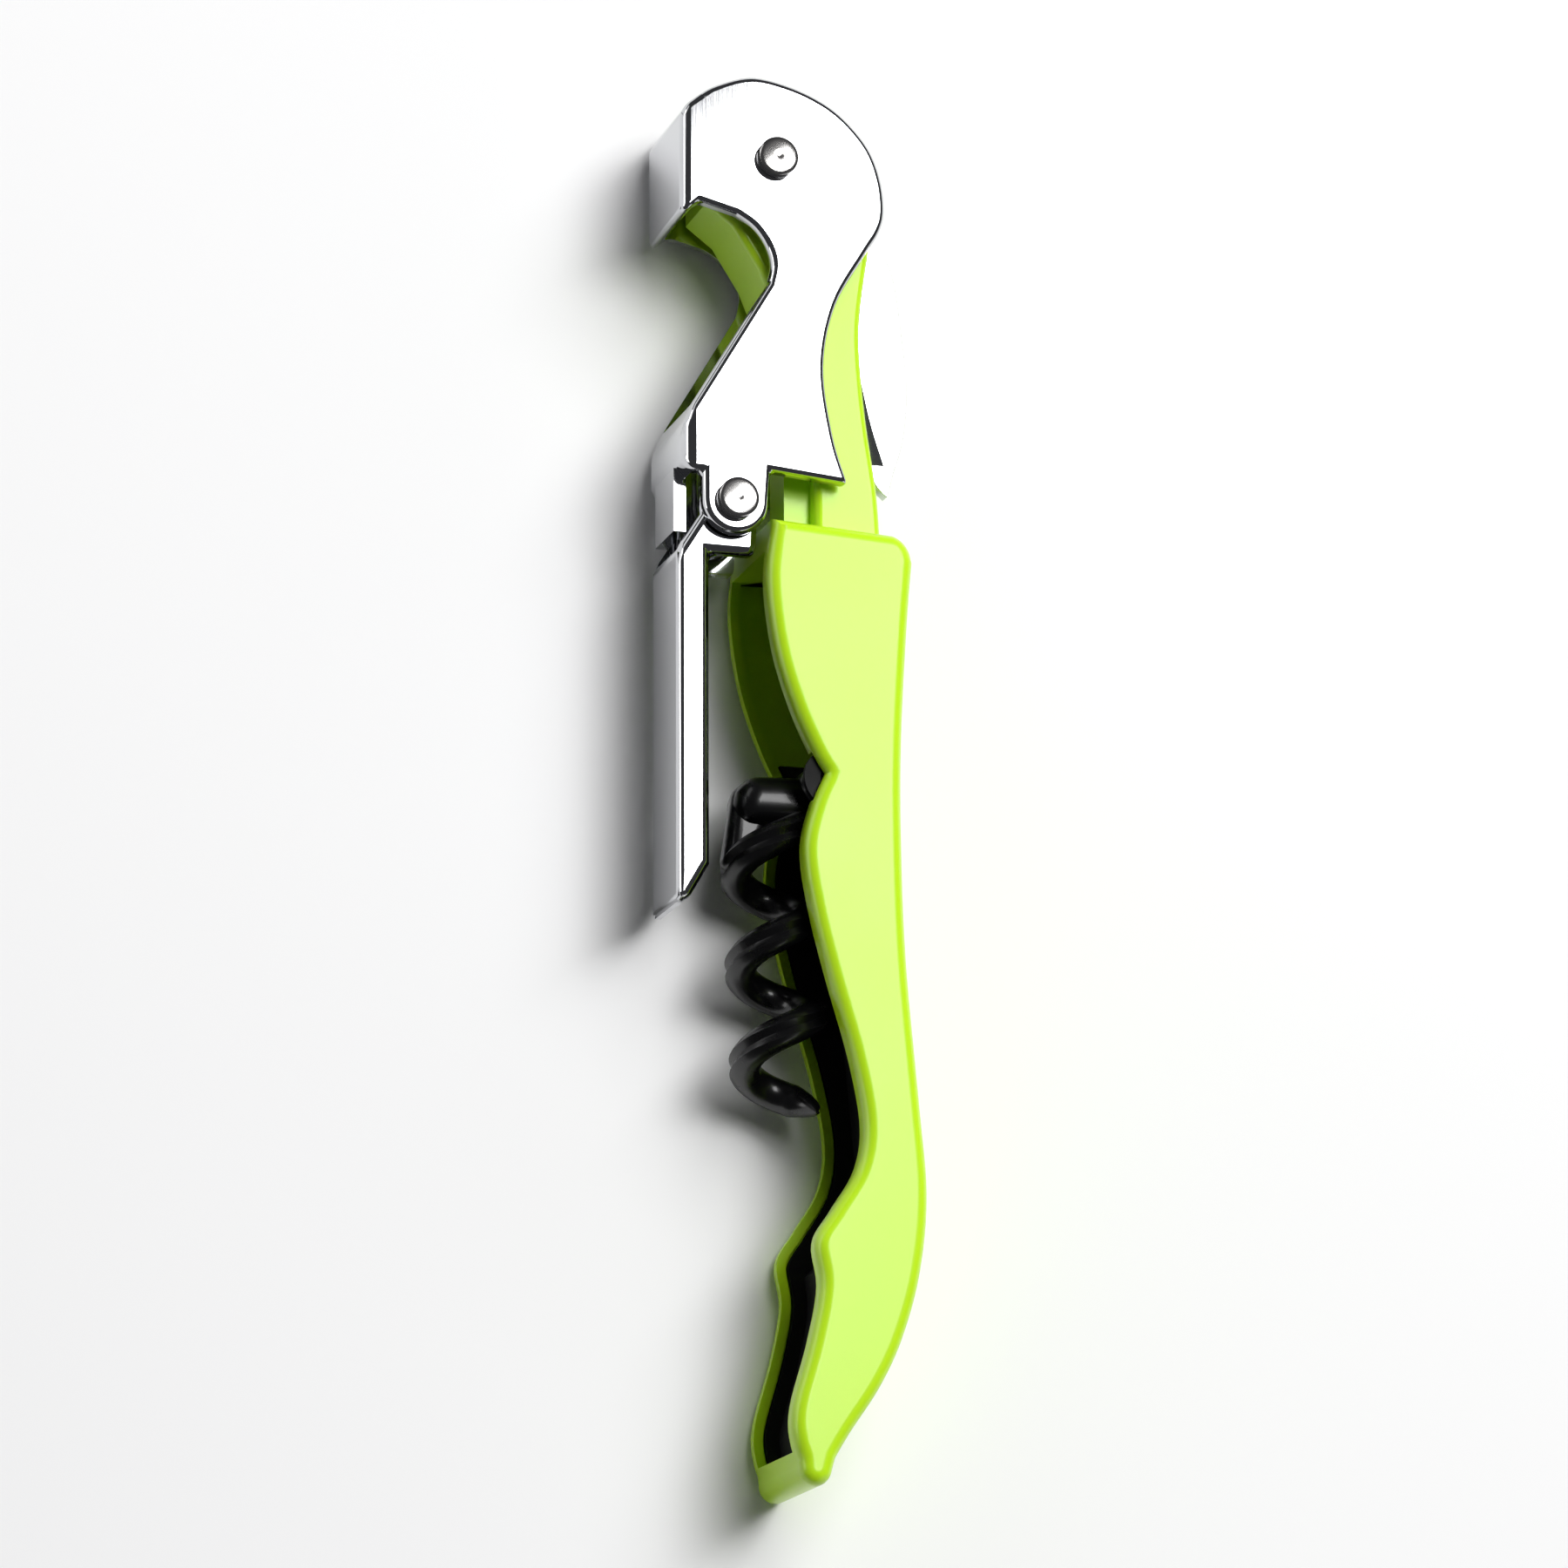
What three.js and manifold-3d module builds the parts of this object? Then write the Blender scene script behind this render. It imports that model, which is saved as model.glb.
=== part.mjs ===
// Double-hinged lever corkscrew, folded shut and lying on its far side.
// Millimetres. X runs from the lever (front) to the spine (back), Y from the tail to the
// head, Z through the thickness. Shapes are drawn about the head rivet on the mid-plane,
// and the finished group is moved so that its box stands centred on the origin.
import * as THREE from 'three';
import { mergeVertices } from 'three/addons/utils/BufferGeometryUtils.js';
import Module from 'manifold-3d';

const wasm = await Module();
wasm.setup();

// ---- driving dimensions ----
const GRIP_WIDTH = 13;            // over both cheeks of the grip
const GAP = 0.3;                  // clearance between neighbouring pieces
const SHELL_WALL = 1;             // cheek of the moulded grip
const SHELL_LIP = 1.2;            // rolled rim round the belly opening
const SHELL_SPINE = 1.2;
const CORE_GAP = 0.25;            // between the shell and its steel liner
const CORE_WALL = 0.55;
const CORE_SPINE = 0.8;
const NECK_WIDTH = 7;
const FIRST_WIDTH = 10.9;         // first lever stage
const FIRST_SHEET = 1.1;
const SECOND_WIDTH = 8.1;         // second lever stage
const SECOND_SHEET = 1;
const LEVER_FRONT = -8.5;         // outer face of both lever webs
const RIVET_R = 1.1;
const RIVET_HEAD_R = 1.75;
const RIVET_GAP = 0.25;           // under each rivet head
const BORE_R = RIVET_R + GAP;
const BLADE = 1.2;
const BLADE_SLOT = 1.9;
const WASHER_R = 3.2;
const WORM_PIN_R = 1;
const WORM_BORE_R = WORM_PIN_R + 0.25;
const HUB_WIDTH = 6.4;
const HUB_EYE_R = 2.2;
const HELIX_R = 2.95;             // centre line of the wire
const WIRE_R = 1.4;
const WORM_PITCH = 8.3;
const WORM_TILT = 2.4;            // degrees, tip towards the spine
const LEAF_SHEET = 0.45;
const LEAF_HALF = 3;
const LEAF_RIVETS = [-41, -46];
const LEAF_RIVET_R = 0.6;
const LEAF_RIVET_HEAD_R = 1.2;
const WASHER_SHEET = 0.35;
const SIDE_PLAY = 0.25;           // beside a washer, and round the worm's pin
const SPRING_WIRE_R = 0.3;
const SPRING_R = 2.75;            // centre line of the knee spring's turns
const SPRING_TURNS = 4;
const ROOF = -35.4;               // underside of the solid block below the neck
const TAIL_FLOOR = -112.2;        // where the slot in the tail ends
const TAIL_FILL = -92;            // the liner is closed in from here to its tail
const TAIL_CUT = -112.9;          // where runs beside the belly and the spine stop
const TONGUE_END = -33.6;         // foot of the first stage's web
const KNEE_CLEAR = -35.35;        // above it only the second stage's ears reach up

const HEAD = new THREE.Vector2(0, 0);
const KNEE = new THREE.Vector2(-3.7, -31.2);
const WORM_PIVOT = new THREE.Vector2(4.9, -55);

const gripHalf = GRIP_WIDTH / 2;
const bayHalf = gripHalf - SHELL_WALL;
const coreHalf = bayHalf - CORE_GAP;
const coreInner = coreHalf - CORE_WALL;
const neckHalf = NECK_WIDTH / 2;
const firstHalf = FIRST_WIDTH / 2;
const firstInner = firstHalf - FIRST_SHEET;
const secondHalf = SECOND_WIDTH / 2;
const secondInner = secondHalf - SECOND_SHEET;

// ---- finishes: colour, roughness, metalness ----
const LIME = [0xc6f03c, 0.45, 0];
const CHROME = [0xf2f2f2, 0.08, 1];
const STEEL = [0xb9bbc0, 0.3, 1];
const BLACK = [0x141416, 0.3, 0.3];
const BRASS = [0xc9a14a, 0.3, 1];
const NYLON = [0x2a2a2c, 0.5, 0];

// ---- outlines ----
const at = ([x, y]) => new THREE.Vector2(x, y);
const straight = (points) => points.map(at);
const smooth = (points, count) => new THREE.SplineCurve(points.map(at)).getPoints(count);
const within = (points, low, high) => points.filter((p) => p.y > low && p.y < high);

function arc(centre, radius, from, to, steps = 12) {
  return Array.from({ length: steps + 1 }, (_, i) => {
    const a = THREE.MathUtils.degToRad(from + ((to - from) * i) / steps);
    return at([centre.x + radius * Math.cos(a), centre.y + radius * Math.sin(a)]);
  });
}

// An open run of points moved to its own left by a distance.
function beside(points, distance) {
  return points.map((p, i) => {
    const before = points[Math.max(i - 1, 0)];
    const after = points[Math.min(i + 1, points.length - 1)];
    const along = after.clone().sub(before).normalize();
    return at([p.x - along.y * distance, p.y + along.x * distance]);
  });
}

// ---- solids ----
function toSolid(geometry) {
  const bare = geometry.clone();
  bare.deleteAttribute('normal');
  bare.deleteAttribute('uv');
  const merged = mergeVertices(bare, 1e-5);
  const vertProperties = new Float32Array(merged.attributes.position.array);
  const triVerts = new Uint32Array(merged.index.array);
  return new wasm.Manifold(new wasm.Mesh({ numProp: 3, vertProperties, triVerts }));
}

function toGeometry(solid) {
  const mesh = solid.getMesh();
  const geometry = new THREE.BufferGeometry();
  geometry.setAttribute('position', new THREE.BufferAttribute(mesh.vertProperties, 3));
  geometry.setIndex(new THREE.BufferAttribute(mesh.triVerts, 1));
  geometry.computeVertexNormals();
  return geometry;
}

const join = (...solids) => solids.reduce((sum, solid) => sum.add(solid));
const cut = (solid, ...tools) => tools.reduce((rest, tool) => rest.subtract(tool), solid);

// A plate with an outline, between two heights.
function plate(outline, low, high) {
  const options = { depth: high - low, bevelEnabled: false };
  const geometry = new THREE.ExtrudeGeometry(new THREE.Shape(outline), options);
  return toSolid(geometry.translate(0, 0, low));
}

function box(x0, x1, y0, y1, z0, z1) {
  const geometry = new THREE.BoxGeometry(x1 - x0, y1 - y0, z1 - z0);
  return toSolid(geometry.translate((x0 + x1) / 2, (y0 + y1) / 2, (z0 + z1) / 2));
}

// A round bar along Z.
function bar(centre, radius, low, high, sides = 24) {
  const geometry = new THREE.CylinderGeometry(radius, radius, high - low, sides);
  geometry.rotateX(Math.PI / 2);
  return toSolid(geometry.translate(centre.x, centre.y, (low + high) / 2));
}

const ring = (centre, outer, inner, low, high, sides = 24) =>
  cut(bar(centre, outer, low, high, sides), bar(centre, inner, low - 1, high + 1, sides));

// A rivet along Z with a low dome at each end.
function rivet(centre, plateHalf) {
  const under = plateHalf + RIVET_GAP;
  const dome = [[RIVET_HEAD_R, under], [RIVET_HEAD_R, under + 0.25],
    [RIVET_HEAD_R * 0.72, gripHalf - 0.12], [0, gripHalf]];
  const upper = [[RIVET_R, under], ...dome];
  const lower = upper.map(([r, z]) => [r, -z]).reverse();
  const geometry = new THREE.LatheGeometry(straight([...lower, ...upper]), 24);
  geometry.rotateX(Math.PI / 2);
  return toSolid(geometry.translate(centre.x, centre.y, 0));
}

const corkscrew = new THREE.Group();

function piece(name, solid, [color, roughness, metalness]) {
  const look = new THREE.MeshStandardMaterial({ color, roughness, metalness });
  const mesh = new THREE.Mesh(toGeometry(solid), look);
  mesh.name = name;
  corkscrew.add(mesh);
}

// ---- grip outline: the spine and the belly both run down to the tail ----
const spine = smooth([
  [11.6, -34.9], [11, -41.6], [10.4, -51.6], [10.3, -60], [10.6, -70.5], [11.6, -82.4],
  [12.2, -90.4], [11.5, -97], [9.9, -102.5], [7.9, -106.6], [5.2, -110.6], [3.2, -114],
], 30);
const bellyAbove = smooth([
  [-0.6, -32.7], [-1.2, -38], [-0.5, -44], [1, -49], [2.8, -53], [3.9, -54.8],
], 12);
const bellyBelow = smooth([
  [3.9, -54.8], [2.7, -57.6], [1.9, -61.5], [2.6, -66.5], [4.1, -72.4], [6, -79],
  [7, -84.6], [6.4, -88.5], [4.3, -92], [2.7, -94.8], [3.1, -98.5], [2.2, -103.2],
  [0.7, -108.6], [0.8, -111.6], [1.9, -114.4],
], 40);
const belly = [...bellyAbove, ...bellyBelow.slice(1)];
const grip = [...straight([[10.3, -33.4], [11.2, -33.8]]), ...spine, at([2.4, -115.1]),
  ...belly.slice().reverse()];

const fromSpine = (depth) => within(beside(spine, -depth), TAIL_CUT, 0);
const fromBelly = (depth) => within(beside(belly, depth), TAIL_CUT, 0);

// Part of the grip between its belly and its spine, or open past the belly, cut off
// level at both ends.
function inside(bellyDepth, spineDepth, halfWidth, top, bottom) {
  const front = bellyDepth === null ? straight([[-12, 0], [-12, -120]]) : fromBelly(bellyDepth);
  const region = plate([...front, ...fromSpine(spineDepth).reverse()], -halfWidth, halfWidth);
  return region.intersect(box(-20, 30, bottom, top, -gripHalf, gripHalf));
}

// ---- handle shell: grip, neck and knife slot in one moulding ----
const neck = [
  ...arc(HEAD, 6.1, -25, 200, 20),
  ...straight([[-5.7, -3.9], [-3.3, -5.7], [-0.9, -9.5], [0.3, -12.5], [1.3, -18],
    [1.6, -26.3], [3.9, -27.2], [3.9, -34.5], [9.9, -34.5]]),
  ...smooth([[9.9, -32.8], [9.6, -28.4], [8.7, -22.1], [8.2, -15.8], [8.4, -11.8],
    [9.2, -6.5]], 10),
];
const neckTongue = straight([[1.6, -24], [7, -24], [7, -34.5], [1.6, -34.5]]);
const knifeSlot = straight([
  [-7, 12], [-7, -1.5], [-4.6, -3.6], [-0.6, -6], [0.6, -5.7], [2.9, -7.2], [4.8, -11.2],
  [6.4, -16.4], [7.7, -22], [9.3, -27], [9.8, -29.2], [20, -29.2], [20, 12],
]);
const TONGUE_DEPTH = 2;
const LINER_EAR_R = 2.65;
const SPACER_BAY = 1;             // depth of the recess for each knife spacer
const slotHalf = BLADE_SLOT / 2;
const spacerBay = slotHalf + SPACER_BAY;

piece('handle_shell', cut(
  join(
    plate(grip, -gripHalf, gripHalf),
    plate(neck, -neckHalf, neckHalf),
    plate(neckTongue, -TONGUE_DEPTH, TONGUE_DEPTH),
  ),
  inside(null, SHELL_SPINE, coreInner, ROOF, TAIL_FLOOR),
  inside(SHELL_LIP, SHELL_SPINE, bayHalf, ROOF, TAIL_FLOOR),
  bar(WORM_PIVOT, LINER_EAR_R + GAP, -bayHalf, bayHalf),
  plate(knifeSlot, -slotHalf, slotHalf),
  bar(HEAD, WASHER_R + 0.4, -spacerBay, spacerBay),
  bar(HEAD, BORE_R, -gripHalf, gripHalf),
), LIME);

function spineAt(y) {
  const i = spine.findIndex((p) => p.y < y);
  const share = (y - spine[i - 1].y) / (spine[i].y - spine[i - 1].y);
  return THREE.MathUtils.lerp(spine[i - 1].x, spine[i].x, share);
}

// A round bar along X, from one depth below the spine to another.
function stud(y, radius, deep, shallow) {
  const geometry = new THREE.CylinderGeometry(radius, radius, deep - shallow, 16);
  geometry.rotateZ(Math.PI / 2);
  return toSolid(geometry.translate(spineAt(y) - (deep + shallow) / 2, y, 0));
}

// ---- steel liner, with its two ears that carry the worm ----
const linerDepth = SHELL_LIP + CORE_GAP;
const linerSpine = SHELL_SPINE + CORE_GAP;
const linerFloor = linerSpine + CORE_SPINE;
const leafHoleR = LEAF_RIVET_R + SIDE_PLAY;
piece('core_channel', cut(
  join(
    inside(linerDepth, linerSpine, coreHalf, ROOF - GAP, TAIL_FLOOR + GAP),
    bar(WORM_PIVOT, LINER_EAR_R, -coreHalf, coreHalf),
  ),
  inside(null, linerFloor, coreInner, ROOF + 1, TAIL_FILL),
  plate([
    ...straight([[-12, TAIL_FILL + 1], [-12, -118]]),
    ...within(beside(belly, linerDepth + 1.2), -113, -96).reverse(),
    at([8.6, TAIL_FILL]), at([8.6, TAIL_FILL + 1]),
  ], -coreInner, coreInner),
  bar(WORM_PIVOT, WORM_BORE_R, -gripHalf, gripHalf),
  ...LEAF_RIVETS.map((y) => stud(y, leafHoleR, linerFloor + 1, SHELL_SPINE + 0.1)),
), BLACK);

// ---- leaf spring along the liner's floor, held by two rivets ----
const leafBack = linerFloor + GAP;
const leafRun = (depth) => within(beside(spine, -depth), -60, -38);
piece('leaf_spring', cut(
  plate([
    ...leafRun(leafBack + LEAF_SHEET),
    ...leafRun(leafBack).reverse(),
  ], -LEAF_HALF, LEAF_HALF),
  ...LEAF_RIVETS.map((y) => stud(y, leafHoleR, leafBack + 2, leafBack - 1)),
), STEEL);
LEAF_RIVETS.forEach((y, i) => piece(`leaf_spring_rivet_${i + 1}`, join(
  stud(y, LEAF_RIVET_R, leafBack + 1, linerSpine + 0.2),
  stud(y, LEAF_RIVET_HEAD_R, leafBack + LEAF_SHEET + 0.8, leafBack + LEAF_SHEET + SIDE_PLAY),
), STEEL));

// ---- first lever stage: head with the cap-lifter notch, and the knee at its foot ----
const firstSide = [
  ...smooth([[LEVER_FRONT, 4], [-5.6, 6.2], [-2, 7.4], [2, 7.2], [5.3, 5.5], [8.6, 2.7],
    [9.8, -1.3], [9.7, -4.4], [8.5, -7.3], [5.3, -12.8], [4.3, -18.5], [5.1, -24.7],
    [6.4, -28.9]], 36),
  at([-0.6, -28.3]),
  ...arc(KNEE, 2.9, 0, -180, 14),
  ...straight([[-6.6, -28.8], [LEVER_FRONT, -28.8], [LEVER_FRONT, -24.5]]),
  ...smooth([[-0.7, -11.3], [-0.4, -9.5], [-0.9, -7.8], [-2, -6.3], [-3.6, -5.3]], 10),
  ...straight([[-7.4, -4.6], [LEVER_FRONT, -6]]),
];
const TONGUE_HALF = secondInner - GAP;
piece('lever_first_stage', cut(
  join(
    plate(firstSide, -firstHalf, firstHalf),
    box(LEVER_FRONT, LEVER_FRONT + FIRST_SHEET, TONGUE_END, -28, -TONGUE_HALF, TONGUE_HALF),
  ),
  box(LEVER_FRONT + FIRST_SHEET, 20, -40, 10, -firstInner, firstInner),
  bar(HEAD, BORE_R, -gripHalf, gripHalf),
  bar(KNEE, BORE_R, -gripHalf, gripHalf),
), CHROME);

// ---- second lever stage: narrow channel with two ears at the knee ----
const secondSide = [
  ...straight([[LEVER_FRONT, -66.2], [-7.6, -66.2], [-5.6, -62.8], [-5.6, -35.6],
    [-1.4, -35.6]]),
  ...arc(KNEE, 2.8, -30, 180, 16),
  ...straight([[-6.5, -32.2], [LEVER_FRONT, -35.4]]),
];
piece('lever_second_stage', cut(
  plate(secondSide, -secondHalf, secondHalf),
  box(LEVER_FRONT + SECOND_SHEET, 20, -80, 0, -secondInner, secondInner),
  box(-20, 20, KNEE_CLEAR, 0, -secondInner, secondInner),
  bar(KNEE, BORE_R, -gripHalf, gripHalf),
), CHROME);

// ---- rivets, washers, knee sleeve ----
const washer = (name, low, high, look) =>
  piece(name, ring(HEAD, WASHER_R, BORE_R, low, high), look);
piece('head_rivet', rivet(HEAD, firstHalf), CHROME);
piece('knee_rivet', rivet(KNEE, firstHalf), CHROME);
const washerTop = neckHalf + SIDE_PLAY + WASHER_SHEET;
washer('head_washer_near', neckHalf + SIDE_PLAY, washerTop, STEEL);
washer('head_washer_far', -washerTop, -neckHalf - SIDE_PLAY, STEEL);
const spacerFoot = BLADE / 2 + GAP;
washer('knife_spacer_near', spacerFoot, spacerBay - GAP, BRASS);
washer('knife_spacer_far', GAP - spacerBay, -spacerFoot, BRASS);
piece('knee_sleeve', ring(KNEE, 2, BORE_R, GAP - secondInner, secondInner - GAP), STEEL);

// ---- knee spring: a few turns round the sleeve, with a leg on each web ----
const coilHalf = secondInner - GAP - SPRING_WIRE_R - SIDE_PLAY;
const springSteps = SPRING_TURNS * 12;
const coilRun = Array.from({ length: springSteps + 1 }, (_, i) => {
  const a = Math.PI - (i / springSteps) * SPRING_TURNS * 2 * Math.PI;
  return new THREE.Vector3(KNEE.x + SPRING_R * Math.cos(a), KNEE.y + SPRING_R * Math.sin(a),
    THREE.MathUtils.lerp(-coilHalf, coilHalf, i / springSteps));
});
const springRun = [
  new THREE.Vector3(-6.9, -39, -coilHalf), new THREE.Vector3(-6.6, -34.5, -coilHalf),
  ...coilRun,
  new THREE.Vector3(-6.6, -28, coilHalf), new THREE.Vector3(-6.85, -25, coilHalf),
];

// A tube of round section along a run of points.
function tube(run, radius, steps, sides) {
  const path = new THREE.CatmullRomCurve3(run);
  const section = new THREE.Shape(arc(HEAD, radius, 0, 360, sides).slice(0, sides));
  return new THREE.ExtrudeGeometry(section, { steps, extrudePath: path });
}
piece('knee_spring', toSolid(tube(springRun, SPRING_WIRE_R, 72, 6)), STEEL);

// ---- worm: hub, shank and three and a half turns of wire ending in a point ----
const HELIX_TOP = new THREE.Vector2(0.8, -61.9);   // axis level with the first front turn
const helixAt = (t) => new THREE.Vector3(
  HELIX_R * Math.sin(t), (WORM_PITCH * (t + Math.PI / 2)) / (2 * Math.PI),
  HELIX_R * Math.cos(t));
const HELIX_FROM = 0.95 * Math.PI;
const HELIX_TO = -5.2 * Math.PI;
const helixRun = Array.from({ length: 61 }, (_, i) =>
  helixAt(THREE.MathUtils.lerp(HELIX_FROM, HELIX_TO, i / 60)));

const POINT_LENGTH = 4.2;
const POINT_OVERLAP = 0.3;        // how far the point reaches back into the wire

function wormPoint() {
  const root = helixAt(HELIX_TO);
  const along = helixAt(HELIX_TO - 0.6).sub(root).normalize();
  const cone = new THREE.CylinderGeometry(0.15, WIRE_R * 0.97, POINT_LENGTH, 8);
  cone.translate(0, POINT_LENGTH / 2 - POINT_OVERLAP, 0);
  cone.applyQuaternion(new THREE.Quaternion().setFromUnitVectors(
    new THREE.Vector3(0, 1, 0), along));
  return cone.translate(root.x, root.y, root.z);
}

// From the worm's own axis to its tilted place in the folded tool.
function folded(geometry) {
  geometry.rotateZ(THREE.MathUtils.degToRad(WORM_TILT));
  return toSolid(geometry.translate(HELIX_TOP.x, HELIX_TOP.y, 0));
}

const hubHalf = HUB_WIDTH / 2;
piece('worm', cut(
  join(
    folded(tube(helixRun, WIRE_R, 60, 8)),
    folded(wormPoint()),
    plate(straight([[-1.4, -53.6], [4, -53], [6.2, -54.4], [6.2, -57], [2.5, -58.2],
      [-1.9, -58.2]]), -hubHalf, hubHalf),
    bar(WORM_PIVOT, HUB_EYE_R, -hubHalf, hubHalf),
    plate(straight([[-1.4, -53.6], [0.2, -53.6], [-0.4, -58], [-2, -61.9], [-3.5, -61.9]]),
      -WIRE_R, WIRE_R),
  ),
  bar(WORM_PIVOT, WORM_BORE_R, -gripHalf, gripHalf),
), BLACK);
const WORM_SPACER_R = 2;
const pinHalf = coreHalf - 0.05;
const spacerLow = hubHalf + GAP;
const spacerHigh = coreInner - GAP;
const wormSpacer = (name, low, high) =>
  piece(name, ring(WORM_PIVOT, WORM_SPACER_R, WORM_BORE_R, low, high), NYLON);
piece('worm_pin', bar(WORM_PIVOT, WORM_PIN_R, -pinHalf, pinHalf), STEEL);
wormSpacer('worm_spacer_near', spacerLow, spacerHigh);
wormSpacer('worm_spacer_far', -spacerHigh, -spacerLow);

// ---- knife: round tang and a short curved blade ----
const blade = [
  ...arc(HEAD, 5, -31, 250, 28),
  ...straight([[1.6, -5.3], [3.9, -7.6], [5.6, -11.4], [7.2, -16.4], [8.5, -22],
    [10.1, -26.6], [11.4, -28.2]]),
  ...smooth([[12, -25.9], [12.9, -22.8], [13.3, -18.4], [12.9, -13.5], [12.2, -8.4],
    [11.2, -5.8]], 10),
  at([7.4, -4.4]),
];
piece('knife_blade', cut(
  plate(blade, -BLADE / 2, BLADE / 2),
  bar(HEAD, BORE_R, -gripHalf, gripHalf),
), STEEL);

// ---- stand the box of the whole object centred on the origin ----
const extent = new THREE.Box3().setFromObject(corkscrew);
const middle = extent.getCenter(new THREE.Vector3());
corkscrew.position.set(-middle.x, -middle.y, -extent.min.z);

export default corkscrew;
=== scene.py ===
"""Double-hinged lever corkscrew: the finished looks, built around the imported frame.

Outlines are drawn in millimetres about the head rivet, on the mid-plane of the grip. Each
sub-assembly is a class that models its pieces, dresses them and rides them on their body.
"""
from __future__ import annotations

import logging
import math
from collections.abc import Callable, Iterable, Sequence
from dataclasses import dataclass, field
from enum import Enum

import bmesh  # noqa: E402
import bpy  # noqa: E402
from mathutils import Matrix, Vector  # noqa: E402


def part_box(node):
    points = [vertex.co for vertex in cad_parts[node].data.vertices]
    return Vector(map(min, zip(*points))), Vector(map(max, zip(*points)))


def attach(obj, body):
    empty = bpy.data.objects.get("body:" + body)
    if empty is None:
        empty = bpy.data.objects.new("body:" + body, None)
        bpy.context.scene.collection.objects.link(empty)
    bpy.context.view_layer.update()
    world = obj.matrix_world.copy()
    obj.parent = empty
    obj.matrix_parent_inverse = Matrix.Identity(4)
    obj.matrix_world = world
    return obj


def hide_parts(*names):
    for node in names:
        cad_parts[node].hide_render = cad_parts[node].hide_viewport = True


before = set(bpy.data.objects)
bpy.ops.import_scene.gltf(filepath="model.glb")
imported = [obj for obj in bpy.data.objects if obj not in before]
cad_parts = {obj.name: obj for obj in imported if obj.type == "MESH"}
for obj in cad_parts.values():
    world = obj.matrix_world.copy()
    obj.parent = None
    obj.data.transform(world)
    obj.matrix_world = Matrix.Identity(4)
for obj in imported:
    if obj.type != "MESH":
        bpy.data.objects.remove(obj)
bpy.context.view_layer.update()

LOG = logging.getLogger("corkscrew")
MM = 0.001
Point = tuple[float, float]
BIG = 40.0  # reaches past the whole cross-section, in millimetres


def rivet_axis() -> Vector:
    """Returns the point of the head rivet's axis on the mid-plane, in metres."""
    low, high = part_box("head_rivet")
    return (low + high) / 2


DATUM = rivet_axis()


def place(x: float, y: float, z: float = 0.0) -> Vector:
    """Turns millimetres about the head rivet into the frame's metres.

    Args:
        x: Distance towards the spine.
        y: Distance towards the head.
        z: Distance up from the mid-plane.

    Returns:
        The point in the frame.
    """
    return DATUM + Vector((x, y, z)) * MM


# ---------------------------------------------------------------- outlines


def smooth(points: Sequence[Point], count: int) -> list[Point]:
    """Runs a smooth curve through points.

    Args:
        points: The points that it passes through.
        count: How many steps the whole run has.

    Returns:
        The points along the curve, its two ends among them.
    """
    run: list[Point] = []
    spans = len(points) - 1
    for i in range(count + 1):
        where = min(i * spans / count, spans - 1e-9)
        k = int(where)
        t = where - k
        p0, p1 = points[max(k - 1, 0)], points[k]
        p2, p3 = points[k + 1], points[min(k + 2, spans)]
        run.append(tuple(
            0.5 * (2 * b + (c - a) * t + (2 * a - 5 * b + 4 * c - d) * t**2
                   + (3 * b - a - 3 * c + d) * t**3)
            for a, b, c, d in zip(p0, p1, p2, p3)))
    return run


def arc(centre: Point, radius: float, start: float, end: float, steps: int) -> list[Point]:
    """Returns points on an arc, from one angle in degrees to another."""
    turns = [math.radians(start + (end - start) * i / steps) for i in range(steps + 1)]
    return [(centre[0] + radius * math.cos(a), centre[1] + radius * math.sin(a)) for a in turns]


def beside(points: Sequence[Point], distance: float) -> list[Point]:
    """Moves an open run of points to its own left, without the loops of tight corners.

    Args:
        points: The run.
        distance: How far it moves, negative to the right.

    Returns:
        The moved points that keep the whole distance from the run.
    """
    moved = []
    nearest = 0.97 * abs(distance)
    for i, (x, y) in enumerate(points):
        before, after = points[max(i - 1, 0)], points[min(i + 1, len(points) - 1)]
        along = Vector((after[0] - before[0], after[1] - before[1])).normalized()
        spot = (x - along.y * distance, y + along.x * distance)
        if all(math.dist(spot, other) > nearest for other in points):
            moved.append(spot)
    return moved


def between(points: Iterable[Point], low: float, high: float) -> list[Point]:
    """Keeps the points whose distance along the tool is between two values."""
    return [p for p in points if low < p[1] < high]


# ---------------------------------------------------------------- the workbench


class Body(Enum):
    """The bodies that pieces ride on."""

    HANDLE = "handle"
    FIRST_STAGE = "first_stage"
    SECOND_STAGE = "second_stage"
    WORM = "worm"
    KNIFE = "knife"


class Slot(Enum):
    """The record's material slots; fit is passed one for each piece but gives it to none."""

    GRIP = "grip_lime"
    LINER = "liner_black"
    CHROME = "lever_chrome"
    RIVET = "rivet_steel"
    BLADE = "blade_steel"
    WORM = "worm_black"
    SPRING = "spring_steel"


class Combine(Enum):
    """How one solid acts on another."""

    JOIN = "UNION"
    CUT = "DIFFERENCE"
    KEEP = "INTERSECT"


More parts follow.
